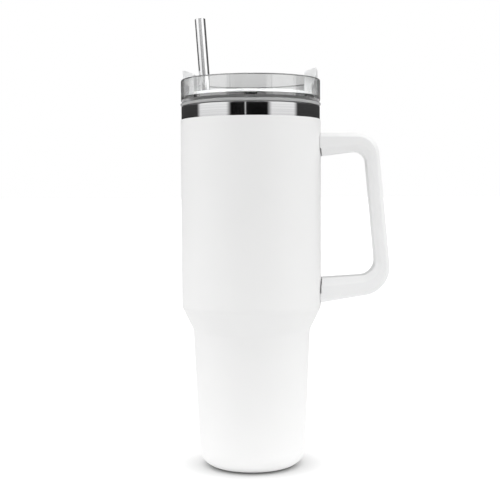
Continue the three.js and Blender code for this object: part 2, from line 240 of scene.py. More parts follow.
def plate(name, contours, low, high, edge):
    """A flat plate with softened rims. The first contour is the outside and the rest are holes.

    The rims stand out by edge, so contours are drawn that much inside the finished size.
    """
    curve = bpy.data.curves.new(name, "CURVE")
    curve.dimensions = "2D"
    curve.fill_mode = "BOTH"
    curve.extrude = (high - low) / 2 - edge
    curve.bevel_depth = edge
    curve.bevel_resolution = 3
    for contour in contours:
        spline = curve.splines.new("POLY")
        spline.points.add(len(contour) - 1)
        for point, at in zip(spline.points, contour):
            point.co = (at.x, at.y, 0, 1)
        spline.use_cyclic_u = True
    source = bpy.data.objects.new(name, curve)
    bpy.context.scene.collection.objects.link(source)
    bpy.context.view_layer.update()
    evaluated = source.evaluated_get(bpy.context.evaluated_depsgraph_get())
    bm = bmesh.new()
    bm.from_mesh(evaluated.to_mesh())
    bpy.data.objects.remove(source)
    bpy.data.curves.remove(curve)
    bmesh.ops.remove_doubles(bm, verts=bm.verts, dist=1e-6)
    bmesh.ops.translate(bm, verts=bm.verts, vec=(0, 0, (low + high) / 2))
    return mesh_object(name, bm)


# ------------------------------------------------------------------ material helpers


class Nodes:
    """A short way to write a node material."""

    def __init__(self, name):
        self.material = bpy.data.materials.new(name)
        self.material.use_nodes = True
        self.tree = self.material.node_tree
        self.shader = self.tree.nodes["Principled BSDF"]
        self.coordinates = self.add("ShaderNodeTexCoord").outputs["Object"]

    def add(self, kind, **inputs):
        node = self.tree.nodes.new(kind)
        for key, value in inputs.items():
            self.feed(node.inputs[key.replace("_", " ")], value)
        return node

    def feed(self, socket, value):
        if isinstance(value, bpy.types.NodeSocket):
            self.tree.links.new(value, socket)
        else:
            socket.default_value = value

    def set(self, **inputs):
        for key, value in inputs.items():
            self.feed(self.shader.inputs[key.replace("_", " ")], value)

    def math(self, operation, *values):
        node = self.tree.nodes.new("ShaderNodeMath")
        node.operation = operation
        for socket, value in zip(node.inputs, values):
            self.feed(socket, value)
        return node.outputs[0]

    def scaled(self, scale):
        """The object's own coordinates, stretched along each axis."""
        node = self.add("ShaderNodeVectorMath")
        node.operation = "MULTIPLY"
        self.feed(node.inputs[0], self.coordinates)
        node.inputs[1].default_value = scale
        return node.outputs[0]

    def turned_coordinates(self, radial, along):
        """Coordinates that are the same all the way round Z, for the marks that turning leaves."""
        parts = self.add("ShaderNodeSeparateXYZ", Vector=self.coordinates)
        squares = [self.math("MULTIPLY", parts.outputs[i], parts.outputs[i]) for i in (0, 1)]
        radius = self.math("SQRT", self.math("ADD", *squares))
        joined = self.add("ShaderNodeCombineXYZ")
        self.feed(joined.inputs[0], self.math("MULTIPLY", radius, radial))
        self.feed(joined.inputs[2], self.math("MULTIPLY", parts.outputs[2], along))
        return joined.outputs[0]

    def noise(self, vector, scale, detail=3.0, roughness=0.5):
        node = self.add("ShaderNodeTexNoise", Vector=vector, Scale=scale, Detail=detail, Roughness=roughness)
        return node.outputs["Fac"]

    def spread(self, value, low, high):
        """The middle half of a noise value, moved to another range."""
        node = self.add("ShaderNodeMapRange")
        self.feed(node.inputs["Value"], value)
        node.inputs["From Min"].default_value = 0.25
        node.inputs["From Max"].default_value = 0.75
        node.inputs["To Min"].default_value = low
        node.inputs["To Max"].default_value = high
        return node.outputs["Result"]

    def tint(self, value, dark, light):
        """A colour between two others that follows a noise value."""
        ramp = self.add("ShaderNodeValToRGB", Fac=value)
        ramp.color_ramp.elements[0].position = 0.3
        ramp.color_ramp.elements[1].position = 0.7
        ramp.color_ramp.elements[0].color = (*dark, 1)
        ramp.color_ramp.elements[1].color = (*light, 1)
        return ramp.outputs["Color"]

    def bump(self, height, depth, normal=None):
        """Fine relief of a depth in metres, on top of another normal if there is one."""
        node = self.add("ShaderNodeBump", Height=height, Distance=depth, Strength=1.0)
        if normal is not None:
            self.feed(node.inputs["Normal"], normal)
        return node.outputs["Normal"]


def white_coat():
    """Satin powder coat: a faint orange peel over a finer grain."""
    n = Nodes("white_coat")
    plain = n.scaled((1, 1, 1))
    peel = n.noise(plain, 420, 2)
    grain = n.noise(plain, 2600, 2)
    cloud = n.noise(plain, 14, 2)
    n.set(
        Base_Color=n.tint(cloud, (0.875, 0.875, 0.872), (0.893, 0.893, 0.89)),
        Roughness=n.spread(cloud, 0.44, 0.50),
        Normal=n.bump(grain, 0.006 * MM, n.bump(peel, 0.02 * MM)),
    )
    return n.material


def polished_steel(name, colour=(0.62, 0.62, 0.625), roughness=(0.03, 0.07), marks=9000, depth=0.0006 * MM):
    """Steel polished while it turned, so its fine marks run round it."""
    n = Nodes(name)
    lines = n.noise(n.turned_coordinates(marks, marks), 1.0, 4, 0.7)
    coarse = n.noise(n.turned_coordinates(0.15 * marks, 0.15 * marks), 1.0, 3, 0.6)
    upright = n.noise(n.scaled((900, 900, 10)), 1.0, 3, 0.6)
    cloud = n.noise(n.scaled((60, 60, 60)), 1.0, 2)
    darker = tuple(c * 0.88 for c in colour)
    n.set(
        Base_Color=n.tint(coarse, darker, colour),
        Metallic=1.0,
        Roughness=n.spread(cloud, *roughness),
        Normal=n.bump(lines, depth, n.bump(upright, 2 * depth)),
    )
    return n.material


def drawn_steel(name):
    """Polished tube, with faint marks along its length."""
    n = Nodes(name)
    lines = n.noise(n.scaled((2400, 2400, 12)), 1.0, 3, 0.6)
    n.set(
        Base_Color=n.tint(lines, (0.76, 0.76, 0.765), (0.82, 0.82, 0.825)),
        Metallic=1.0,
        Roughness=n.spread(lines, 0.15, 0.21),
        Normal=n.bump(lines, 0.0008 * MM),
    )
    return n.material


def moulded_plastic(name):
    """White moulded plastic with a spark-eroded satin grain."""
    n = Nodes(name)
    plain = n.scaled((1, 1, 1))
    grain = n.noise(plain, 3200, 3)
    flow = n.noise(plain, 22, 3)
    n.set(
        Base_Color=n.tint(flow, (0.9, 0.903, 0.903), (0.92, 0.922, 0.922)),
        Roughness=n.spread(flow, 0.36, 0.42),
        Normal=n.bump(grain, 0.008 * MM),
    )
    return n.material


def clear_plastic(name, colour=(0.99, 0.995, 0.995), smoke=10, roughness=0.02):
    """Clear moulded plastic with a faint smoke in its depth and upright flow ripples."""
    n = Nodes(name)
    ripple = n.noise(n.scaled((320, 320, 4)), 1.0, 2)
    n.set(
        Base_Color=n.tint(ripple, tuple(0.985 * c for c in colour), colour),
        Roughness=roughness,
        IOR=1.56,
        Coat_Weight=1.0,
        Coat_IOR=1.85,
        Coat_Roughness=0.03,
        Coat_Normal=n.bump(ripple, 0.32 * MM),
        Normal=n.bump(ripple, 0.09 * MM),
    )
    n.shader.inputs["Transmission Weight"].default_value = 1.0
    absorption = n.add("ShaderNodeVolumeAbsorption", Color=(0, 0, 0, 1), Density=smoke)
    n.tree.links.new(absorption.outputs[0], n.tree.nodes["Material Output"].inputs["Volume"])
    return n.material


def frosted_plastic(name, transmission, roughness, colour):
    """Cloudy moulded plastic, silicone or glass, with a fine frost on its surface."""
    n = Nodes(name)
    frost = n.noise(n.scaled((1, 1, 1)), 2800, 3)
    cloud = n.noise(n.scaled((1, 1, 1)), 90, 2)
    n.set(
        Base_Color=n.tint(cloud, tuple(0.975 * c for c in colour), colour),
        Roughness=n.spread(cloud, roughness - 0.03, roughness + 0.03),
        IOR=1.46,
        Normal=n.bump(frost, 0.01 * MM),
    )
    n.shader.inputs["Transmission Weight"].default_value = transmission
    return n.material


def sheet_metal(name, colour, roughness):
    """Plain formed steel or foil, with rolling marks."""
    n = Nodes(name)
    rolled = n.noise(n.scaled((900, 900, 40)), 1.0, 4, 0.6)
    n.set(
        Base_Color=n.tint(rolled, tuple(0.88 * c for c in colour), colour),
        Metallic=1.0,
        Roughness=n.spread(rolled, roughness - 0.06, roughness + 0.06),
        Normal=n.bump(rolled, 0.003 * MM),
    )
    return n.material


COAT = white_coat()
BAND_STEEL = polished_steel("band_steel")
LINER_STEEL = polished_steel("liner_steel", (0.66, 0.66, 0.67), (0.22, 0.30), 5200, 0.002 * MM)
CAP_STEEL = polished_steel("cap_steel", (0.70, 0.70, 0.71), (0.20, 0.27), 3600, 0.003 * MM)
STRAW_STEEL = drawn_steel("straw_steel")
HANDLE_PLASTIC = moulded_plastic("handle_plastic")
LID_PLASTIC = clear_plastic("lid_plastic")
# Painted shade: the lid's flange is the same clear moulding as the rest of the lid. This grey frosted copy
# darkens it the way refraction does; its frost is surface roughness.
FLANGE_PAINTED_SHADE = frosted_plastic("flange_painted_shade", 0.3, 0.2, (0.58, 0.585, 0.585))
# Painted shade: a grey copy of the clear plastic darkens the top of the lid's wall into a dark line.
RIM_PAINTED_SHADE = clear_plastic("rim_painted_shade", (0.58, 0.585, 0.585))
COVER_PLASTIC = frosted_plastic("cover_plastic", 0.05, 0.4, (0.97, 0.975, 0.975))
SILICONE = frosted_plastic("silicone", 0.25, 0.5, (0.86, 0.87, 0.87))
BARE_STEEL = sheet_metal("bare_steel", (0.48, 0.48, 0.49), 0.38)
FOIL = sheet_metal("foil", (0.84, 0.84, 0.85), 0.22)
SEAL_GLASS = frosted_plastic("seal_glass", 0.1, 0.25, (0.30, 0.34, 0.32))


def finish(piece, body, material, slot, *nodes):
    """The piece takes its material, rides on its body and stands for its CAD nodes."""
    piece.data.materials.clear()
    piece.data.materials.append(material)
    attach(piece, body)
    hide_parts(*nodes)
    return piece


# ------------------------------------------------------------------ steel body


def build_shell():
    inner = BODY_RADIUS - SHEET
    opening = CAP_RADIUS + 0.3 * MM
    shell = turned_piece("coated_shell", [
        (opening, SHELL_LOW.z, 0.2 * MM),
        (FOOT_RADIUS, SHELL_LOW.z, FOOT_CORNER),
        (NECK_RADIUS, NECK_HEIGHT, SHOULDER_CORNER),
        (BODY_RADIUS, SHOULDER_TOP, SHOULDER_CORNER),
        (BODY_RADIUS, COAT_TOP, 0.45 * MM),
        (inner, COAT_TOP, 0.2 * MM),
        (inner, SHOULDER_TOP, SHOULDER_CORNER - SHEET),
        (NECK_RADIUS - SHEET, NECK_HEIGHT, SHOULDER_CORNER + SHEET),
        (FOOT_RADIUS - SHEET, SHEET, FOOT_CORNER - SHEET),
        (opening, SHEET, 0.2 * MM),
    ])
    finish(shell, "vessel", COAT, "white_coat", "outer_shell")


def build_band():
    """The folded mouth channel. Its outer leg runs on down behind the coating's edge."""
    low = COAT_TOP - 1.2 * MM
    top = BAND_HIGH.z
    leg = BAND_RADIUS - 0.8 * MM
    inner_low = BAND_LOW.z + 1.5 * MM
    behind_coat = BODY_RADIUS - SHEET - 0.05 * MM
    band = turned_piece("mouth_band", [
        (behind_coat, low),
        (behind_coat, COAT_TOP + 0.02 * MM),
        (BAND_RADIUS, COAT_TOP + 0.02 * MM),
        (BAND_RADIUS, top, 0.5 * MM),
        (BORE_RADIUS, top, 1.8 * MM),
        (BORE_RADIUS, inner_low, 0.2 * MM),
        (BORE_RADIUS + SHEET, inner_low, 0.2 * MM),
        (BORE_RADIUS + SHEET, top - SHEET, 0.6 * MM),
        (leg, top - SHEET, 0.6 * MM),
        (leg, COAT_TOP - 0.4 * MM),
        (leg - 0.2 * MM, low),
    ])
    finish(band, "vessel", BAND_STEEL, "polished_steel", "mouth_ring")


def build_liner():
    outer = LINER_HIGH.x
    neck, neck_height, shoulder_top = 38.4 * MM, 101 * MM, 117.2 * MM
    foot = 34.4 * MM
    low, top = LINER_LOW.z, LINER_HIGH.z
    liner = turned_piece("steel_liner", [
        (0, low),
        (foot, low, FOOT_CORNER),
        (neck, neck_height, SHOULDER_CORNER),
        (outer, shoulder_top, SHOULDER_CORNER),
        (outer, top, 0.2 * MM),
        (BORE_RADIUS, top, 0.2 * MM),
        (BORE_RADIUS, shoulder_top, SHOULDER_CORNER - SHEET),
        (neck - SHEET, neck_height, SHOULDER_CORNER + SHEET),
        (foot - SHEET, low + SHEET, FOOT_CORNER - SHEET),
        (0, low + SHEET),
    ])
    finish(liner, "vessel", LINER_STEEL, "liner_steel", "inner_liner")


def build_cap():
    """The spun cap in the underside, with a shallow pressed ring that leaves its middle flat."""
    wall = 0.8 * MM
    dip = 0.45 * MM
    cap = turned_piece("foot_cap", [
        (0, CAP_LOW.z),
        (13 * MM, CAP_LOW.z, 0.6 * MM),
        (14 * MM, CAP_LOW.z + dip, 0.6 * MM),
        (20 * MM, CAP_LOW.z + dip, 0.6 * MM),
        (21 * MM, CAP_LOW.z, 0.6 * MM),
        (CAP_RADIUS, CAP_LOW.z, 0.6 * MM),
        (CAP_RADIUS, CAP_HIGH.z, 0.2 * MM),
        (CAP_RADIUS - wall, CAP_HIGH.z, 0.2 * MM),
        (CAP_RADIUS - wall, CAP_LOW.z + SHEET, 0.3 * MM),
        (0, CAP_LOW.z + SHEET),
    ])
    finish(cap, "vessel", CAP_STEEL, "base_steel", "base_cap")


# ------------------------------------------------------------------ handle

HANDLE_HALF_WIDTH = HANDLE_HIGH.y
HANDLE_ROOT = BODY_RADIUS - 4 * MM

HANDLE_CLEARANCE = 0.25 * MM
# Between these heights, the end of each arm stands a little further off the coat.
ARM_GAP = 1.0 * MM
ARM_GAPS = [(124.5 * MM, 136 * MM), (220 * MM, 227.4 * MM)]

# Corners of the outer and inner outlines, (x, z, radius), from the lower arm up to the upper one.
OUTER_LINE = [
    (HANDLE_ROOT, 117.2 * MM),
    (100.2 * MM, 126 * MM, 20.4 * MM),
    (89.7 * MM, 238 * MM, 16 * MM),
    (HANDLE_ROOT, HANDLE_HIGH.z),
]
INNER_LINE = [
    (HANDLE_ROOT, 135 * MM),
    (89.7 * MM, 137.5 * MM, 11 * MM),
    (81.6 * MM, 226.1 * MM, 8 * MM),
    (HANDLE_ROOT, 221.8 * MM),
]


def handle_line(corners, arc_steps=14, straight_steps=6):
    """Points along an outline, the same number on each stretch whatever its length."""
    points = []
    start = Vector(corners[0][:2])
    for before, corner, after in zip(corners, corners[1:], corners[2:]):
        here, radius = Vector(corner[:2]), corner[2]
        back = (Vector(before[:2]) - here).normalized()
        ahead = (Vector(after[:2]) - here).normalized()
        half = back.angle(ahead) / 2
        centre = here + (back + ahead).normalized() * radius / math.sin(half)
        arc_start = here + back * radius / math.tan(half)
        turn = math.copysign(math.pi - 2 * half, ahead.cross(back))
        points += [start.lerp(arc_start, k / straight_steps) for k in range(straight_steps)]
        for k in range(arc_steps):
            points.append(centre + Matrix.Rotation(turn * k / arc_steps, 2) @ (arc_start - centre))
        start = centre + Matrix.Rotation(turn, 2) @ (arc_start - centre)
    end = Vector(corners[-1][:2])
    return points + [start.lerp(end, k / straight_steps) for k in range(straight_steps + 1)]


def handle_section(outer, inner):
    """One section of the handle, as points in space, between an outer and an inner point.

    The faces towards the two sides are flat, with a short steep bevel along the outer edge
    and a wide shallow one along the inner edge.
    """
    across = (outer - inner) / 2
    centre = (outer + inner) / 2
    reach = across.length
    across.normalize()
    steep = min(2.7 * MM, 0.6 * reach)
    wide, fall = 0.68 * reach, 4.4 * MM
    side = HANDLE_HALF_WIDTH
    corners = [
        (reach, side - steep, 0.9 * MM),
        (reach - steep, side, 0.9 * MM),
        (wide - reach, side, 1.5 * MM),
        (-reach, side - fall, 0.7 * MM),
        (-reach, fall - side, 0.7 * MM),
        (wide - reach, -side, 1.5 * MM),
        (reach - steep, -side, 0.9 * MM),
        (reach, steep - side, 0.9 * MM),
    ]
    points = []
    for spot in rounded(corners, math.radians(80)):
        flat = centre + across * spot.x
        points.append(Vector((flat.x, spot.y, flat.y)))
    return points


def build_handle():
    bm = bmesh.new()
    rings = []
    for outer, inner in zip(handle_line(OUTER_LINE), handle_line(INNER_LINE)):
        rings.append([bm.verts.new(point) for point in handle_section(outer, inner)])
    for ring, following in zip(rings, rings[1:]):
        for k in range(len(ring)):
            m = (k + 1) % len(ring)
            bm.faces.new((ring[k], ring[m], following[m], following[k]))
    bm.faces.new(rings[0])
    bm.faces.new(reversed(rings[-1]))
    handle = mesh_object("handle_frame", bm)
    cutters = [bar(BODY_RADIUS + HANDLE_CLEARANCE, 100 * MM, 260 * MM, sides=TURNS)]
    for low, high in ARM_GAPS:
        cutters.append(bar(BODY_RADIUS + ARM_GAP, low, high, sides=TURNS))
    for arm in ("upper", "lower"):
        bracket_low, bracket_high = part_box(f"{arm}_bracket")
        plug_low, plug_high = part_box(f"{arm}_screw_plug")
        head_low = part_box(f"{arm}_screw")[0]
        clearance = Vector((1, 1, 1)) * 0.3 * MM
        centre = ((plug_low + plug_high) / 2).xy
        head_top = head_low.z + 2 * MM
        well_radius = plug_high.x - centre[0] + 0.15 * MM
        cutters.append(block(bracket_low - clearance - Vector((5 * MM, 0, 0)), bracket_high + clearance))
        cutters.append(bar(1.8 * MM, head_low.z, bracket_low.z + 1 * MM, centre))
        cutters.append(bar(well_radius, plug_low.z - 5 * MM, head_top + 0.3 * MM, centre))
    carve(handle, cutters)
    smooth(handle, 30)
    finish(handle, "vessel", HANDLE_PLASTIC, "handle_plastic", "handle")


def build_plugs():
    for arm in ("upper", "lower"):
        node = f"{arm}_screw_plug"
        low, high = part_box(node)
        centre = (low + high) / 2
        radius = (high.x - low.x) / 2
        plug = turned_piece(f"{arm}_plug_cover", [
            (0, low.z),
            (radius, low.z, 0.5 * MM),
            (radius, high.z, 0.15 * MM),
            (0, high.z),
        ], SMALL_TURNS, 0.2 * MM)
        plug.data.transform(Matrix.Translation((centre.x, centre.y, 0)))
        finish(plug, "vessel", HANDLE_PLASTIC, "handle_plastic", node)


# ------------------------------------------------------------------ lid

LID_WALL = 2 * MM
LID_RADIUS = LID_HIGH.x - 0.4 * MM
FLANGE_LOW = BAND_HIGH.z + 0.3 * MM
FLANGE_HIGH = FLANGE_LOW + 2.0 * MM
SKIRT_RADIUS = GASKET_HIGH.x - 1.7 * MM
SKIRT_WALL = 2 * MM
PIVOT_HOLE = 3.3 * MM
STRAW_HOLE = 5.7 * MM
OPENING_CIRCLE = 33 * MM
SIP_HALF_WIDTH = 4.5 * MM
SIP_HALF_ANGLE = math.radians(10)


def build_lid():
    inside = SKIRT_RADIUS - SKIRT_WALL
    lip = SKIRT_RADIUS + 1.2 * MM
    wall_inside = LID_RADIUS - LID_WALL
    lid = turned("lid_shell", supported(rounded([
        (PIVOT_HOLE, DECK_BOTTOM, 0.3 * MM),
        (inside, DECK_BOTTOM, 0.8 * MM),
        (inside, LID_LOW.z, 0.5 * MM),
        (lip, LID_LOW.z, 0.6 * MM),
        (lip, LID_LOW.z + 2 * MM, 0.3 * MM),
        (SKIRT_RADIUS, LID_LOW.z + 2.4 * MM),
        (SKIRT_RADIUS, FLANGE_LOW, 0.4 * MM),
        (LID_HIGH.x, FLANGE_LOW, 1.1 * MM),
        (LID_HIGH.x, FLANGE_HIGH, 0.7 * MM),
        (LID_RADIUS - 1.0 * MM, FLANGE_HIGH + 0.1 * MM, 0.4 * MM),
        (LID_RADIUS, FLANGE_HIGH + 2.1 * MM, 0.5 * MM),
        (LID_RADIUS, LID_HIGH.z, 0.99 * MM),
        (wall_inside, LID_HIGH.z, 0.99 * MM),
        (wall_inside, DECK_TOP, 0.4 * MM),
        (PIVOT_HOLE, DECK_TOP, 0.3 * MM),
    ]), 0.4 * MM))
    straw_hole = (GROMMET_LOW + GROMMET_HIGH) / 2
    low, high = DECK_BOTTOM - 2 * MM, DECK_TOP + 2 * MM
    sip_outline = arc_slot(OPENING_CIRCLE, SIP_HALF_WIDTH, -SIP_HALF_ANGLE, SIP_HALF_ANGLE)
    carve(lid, [bar(STRAW_HOLE, low, high, straw_hole.xy), plate("cutter", [sip_outline], low, high, 0)])
    smooth(lid, 30)
    finish(lid, "lid", LID_PLASTIC, "clear_plastic", "lid_body")
    # Painted shade: the flange and the top of the wall take grey copies of the lid's clear plastic.
    lid.data.materials.append(FLANGE_PAINTED_SHADE)
    lid.data.materials.append(RIM_PAINTED_SHADE)
    flange_slot, rim_slot = 1, 2
    for face in lid.data.polygons:
        if face.center.z > LID_HIGH.z - 1.0 * MM and face.center.xy.length > LID_RADIUS - LID_WALL / 2:
            face.material_index = rim_slot
        elif face.center.xy.length > SKIRT_RADIUS + 2 * MM and face.center.z < FLANGE_HIGH + 0.2 * MM:
            face.material_index = flange_slot


def build_gasket():
    inside, web, fin = SKIRT_RADIUS + 0.1 * MM, GASKET_HIGH.x - 0.6 * MM, GASKET_HIGH.x
    low, high = GASKET_LOW.z, GASKET_HIGH.z
    pitch = (high - low) / 3
    corners = [(inside, low, 0.2 * MM), (web, low, 0.2 * MM)]
    for k in range(3):
        middle = low + pitch * (k + 0.5)
        corners += [(web, middle - 0.6 * MM), (fin, middle + 0.2 * MM, 0.2 * MM), (web, middle + 0.8 * MM)]
    corners += [(web, high, 0.2 * MM), (inside, high, 0.2 * MM)]
    gasket = turned_piece("gasket_ring", corners, TURNS, 0.3 * MM)
    finish(gasket, "lid", SILICONE, "silicone", "lid_gasket")


def build_grommet():
    centre = (GROMMET_LOW + GROMMET_HIGH) / 2
    lip = (GROMMET_HIGH.x - GROMMET_LOW.x) / 2
    hole, neck = 4.3 * MM, 5.4 * MM
    step = DECK_BOTTOM - 0.3 * MM
    grommet = turned_piece("straw_seal", [
        (hole, GROMMET_LOW.z, 0.4 * MM),
        (lip, GROMMET_LOW.z, 0.4 * MM),
        (lip, step, 0.3 * MM),
        (neck, step),
        (neck, GROMMET_HIGH.z, 0.3 * MM),
        (hole, GROMMET_HIGH.z, 0.5 * MM),
    ], SMALL_TURNS, 0.3 * MM)
    grommet.data.transform(Matrix.Translation((centre.x, centre.y, 0)))
    finish(grommet, "lid", SILICONE, "silicone", "straw_grommet")


def build_pivot():
    head = PIVOT_HIGH.x
    shank = 3 * MM
    barb = 4.2 * MM
    cover_top = PIVOT_HIGH.z - 1.9 * MM
    pivot = turned_piece("pivot_rivet", [
        (0, PIVOT_LOW.z),
        (shank - 0.4 * MM, PIVOT_LOW.z, 0.3 * MM),
        (barb, PIVOT_LOW.z + 1.4 * MM, 0.2 * MM),
        (barb, DECK_BOTTOM - 0.3 * MM),
        (shank, DECK_BOTTOM - 0.3 * MM),
        (shank, cover_top),
        (head, cover_top, 0.2 * MM),
        (head, cover_top + 0.8 * MM, 0.4 * MM),
        (4.6 * MM, PIVOT_HIGH.z - 0.25 * MM, 2 * MM),
        (0, PIVOT_HIGH.z),
    ], SMALL_TURNS, 0.3 * MM)
    finish(pivot, "lid", COVER_PLASTIC, "frosted_plastic", "cover_pivot")


# ------------------------------------------------------------------ rotating cover

COVER_RADIUS = 44.5 * MM
COVER_THICKNESS = 2.2 * MM
COVER_TURN = math.radians(-8)
TRAVEL = math.radians(JOINTS["cover_turn"]["range_deg"][1])
STRAW_CIRCLE = 31.75 * MM
STRAW_SLOT_HALF_WIDTH = 4.65 * MM
WINDOW_HALF_WIDTH = 5 * MM
SEAL_MARGIN = 1.8 * MM
TAB_HALF_WIDTH = 9 * MM


def upright_wedge(angle):
    """One finger tab: a crisp wedge that rises and leans outwards from the disc's edge."""
    edge = 0.35 * MM
    cover_top = COVER_LOW.z + COVER_THICKNESS
    rim = LID_HIGH.z
    inside, outside, head = 39.3 * MM + edge, 43.2 * MM - edge, 47.5 * MM - edge
    outline = rounded([
        (inside - 3 * MM, cover_top - 0.8 * MM),
        (outside, cover_top - 0.8 * MM),
        (outside, rim - 4.8 * MM, 2 * MM),
        (head, rim + 1.7 * MM, 2 * MM),
        (head, COVER_HIGH.z - edge, 0.3 * MM),
        (inside, rim + 4.6 * MM - edge, 0.3 * MM),
        (inside, cover_top + edge, 1.6 * MM),
        (inside - 3 * MM, cover_top - edge),
    ])
    wedge = plate("wedge", [outline], -TAB_HALF_WIDTH, TAB_HALF_WIDTH, edge)
    upright = Matrix.Rotation(math.pi / 2, 4, "X")
    wedge.data.transform(Matrix.Rotation(angle, 4, "Z") @ upright)
    return wedge


def build_cover():
    low, high = COVER_LOW.z, COVER_LOW.z + COVER_THICKNESS
    edge = 0.25 * MM
    straw_angle, sip_angle = math.pi - COVER_TURN, -COVER_TURN
    margin = math.radians(2)
    contours = [
        circle(COVER_RADIUS - edge),
        circle(PIVOT_HOLE + edge, SMALL_TURNS),
        arc_slot(STRAW_CIRCLE, STRAW_SLOT_HALF_WIDTH + edge, straw_angle - TRAVEL - margin,
                 straw_angle + margin, 32),
        arc_slot(OPENING_CIRCLE, WINDOW_HALF_WIDTH + edge, sip_angle - TRAVEL - SIP_HALF_ANGLE,
                 sip_angle - TRAVEL + SIP_HALF_ANGLE, 24),
    ]
    cover = plate("turning_cover", contours, low, high, edge)
    pocket_outline = arc_slot(OPENING_CIRCLE, SIP_HALF_WIDTH + SEAL_MARGIN + 0.3 * MM,
                              sip_angle - SIP_HALF_ANGLE, sip_angle + SIP_HALF_ANGLE)
    pocket = plate("cutter", [pocket_outline], low - 1 * MM, SEAL_HIGH.z + 0.3 * MM, 0)
    carve(cover, [upright_wedge(0), upright_wedge(math.pi)], "UNION")
    carve(cover, [pocket])
    smooth(cover, 30)
    cover.data.transform(Matrix.Rotation(COVER_TURN, 4, "Z"))
    finish(cover, "cover", COVER_PLASTIC, "frosted_plastic", "rotating_cover")


def build_seal():
    edge = 0.25 * MM
    outline = arc_slot(OPENING_CIRCLE, SIP_HALF_WIDTH + SEAL_MARGIN - edge, -SIP_HALF_ANGLE, SIP_HALF_ANGLE)
    seal = smooth(plate("sip_seal", [outline], SEAL_LOW.z, SEAL_HIGH.z, edge), 30)
    finish(seal, "cover", SILICONE, "silicone", "cover_seal")


# ------------------------------------------------------------------ straw


def build_straw():
    axis = Vector(JOINTS["straw_slide"]["axis"]).normalized()
    radius = (STRAW_HIGH.y - STRAW_LOW.y) / 2
    lean = math.hypot(axis.x, axis.y)
    end = Vector((STRAW_LOW.x + radius * axis.z, 0, STRAW_HIGH.z - radius * lean))
    start = Vector((STRAW_HIGH.x - radius * axis.z, 0, STRAW_LOW.z + radius * lean))
    length = (end - start).length
    wall = 0.5 * MM
    straw = turned_piece("drinking_straw", [
        (radius - wall, 0, 0.2 * MM),
        (radius, 0, 0.25 * MM),
        (radius, length, 0.25 * MM),
        (radius - wall, length, 0.2 * MM),
    ], SMALL_TURNS, 0.3 * MM)
    lean_over = Vector((0, 0, 1)).rotation_difference(axis).to_matrix().to_4x4()
    straw.matrix_world = Matrix.Translation(start) @ lean_over
    finish(straw, "straw", STRAW_STEEL, "straw_steel", "straw")


# ------------------------------------------------------------------ pieces that stay as the frame has them


def paint_hidden_pieces():
    """The pieces inside the body and the handle keep their own meshes and get a finish."""
    inside = {
        "reflective_foil": FOIL,
        "vacuum_base": BARE_STEEL,
        "vacuum_seal": SEAL_GLASS,
        "getter": BARE_STEEL,
        "upper_bracket": BARE_STEEL,
        "lower_bracket": BARE_STEEL,
        "upper_screw": BARE_STEEL,
        "lower_screw": BARE_STEEL,
    }
    for node, material in inside.items():
        piece = frame["nodes"][node]
        piece.data.materials.clear()
        piece.data.materials.append(material)


# ------------------------------------------------------------------ stage, light and camera


def ramp_of(tree, value, stops, span=(0, 1)):
    """Brightness along a value, from straight lines between at most 32 stops."""
    ramp = tree.nodes.new("ShaderNodeValToRGB")
    elements = ramp.color_ramp.elements
    while len(elements) < len(stops):
        elements.new(0.5)
    low, high = span
    for element, (at, brightness) in zip(elements, stops):
        element.position = (at - low) / (high - low)
        element.color = (brightness, brightness, brightness, 1)
    tree.links.new(value, ramp.inputs["Fac"])
    return ramp.outputs["Color"]


def build_floor():
    bm = bmesh.new()
    bmesh.ops.create_grid(bm, x_segments=1, y_segments=1, size=60)
    floor = mesh_object("floor", bm)
    floor.location.z = SHELL_LOW.z - 0.05 * MM
    material = bpy.data.materials.new("floor")
    material.use_nodes = True
    tree = material.node_tree
    tree.nodes.clear()
    output = tree.nodes.new("ShaderNodeOutputMaterial")
    mix = tree.nodes.new("ShaderNodeMixShader")
    path = tree.nodes.new("ShaderNodeLightPath")
    seen = tree.nodes.new("ShaderNodeBsdfDiffuse")
    # Painted shadow: near the tumbler, the floor the camera sees gets darker with its ambient occlusion. This
    # is a painted contact shadow.
    contact = tree.nodes.new("ShaderNodeAmbientOcclusion")
    contact.inputs["Distance"].default_value = 30 * MM
    painted_contact_shadow = ramp_of(tree, contact.outputs["AO"], [(0, 0.34), (0.5, 0.74), (0.85, 0.95), (1, 1)])
    tree.links.new(painted_contact_shadow, seen.inputs["Color"])
    bounced = tree.nodes.new("ShaderNodeBsdfDiffuse")
    place = tree.nodes.new("ShaderNodeTexCoord").outputs["Object"]
    distance = tree.nodes.new("ShaderNodeVectorMath")
    distance.operation = "LENGTH"
    tree.links.new(place, distance.inputs[0])
    # Painted pool of light: the floor that other surfaces see is brightest near the tumbler and darker
    # further out, by distance alone.
    painted_pool_stops = [(0, 0.98), (0.06, 0.95), (0.12, 0.84), (0.5, 0.58), (1, 0.48)]
    painted_light_pool = ramp_of(tree, distance.outputs["Value"], painted_pool_stops)
    tree.links.new(painted_light_pool, bounced.inputs["Color"])
    tree.links.new(path.outputs["Is Camera Ray"], mix.inputs[0])
    tree.links.new(bounced.outputs[0], mix.inputs[1])
    tree.links.new(seen.outputs[0], mix.inputs[2])
    tree.links.new(mix.outputs[0], output.inputs["Surface"])
    floor.data.materials.append(material)


# Polished metal sees dark walls with soft boxes. Each box is its middle and half its width, in degrees
# from the camera's side towards +X, and its brightness. The one half a degree wide is a bare strip light.
SOFT_BOXES = [(-65, 25, 1.2), (-8, 0.5, 1.0), (55, 20, 1.2)]
BOX_EDGE = 8
FRONT_WALL, BACK_WALL = 0.005, 0.06
BACK_BEGINS = 80
LAMP_BRIGHTNESS = 6.5
ROUND = (-180, 180)


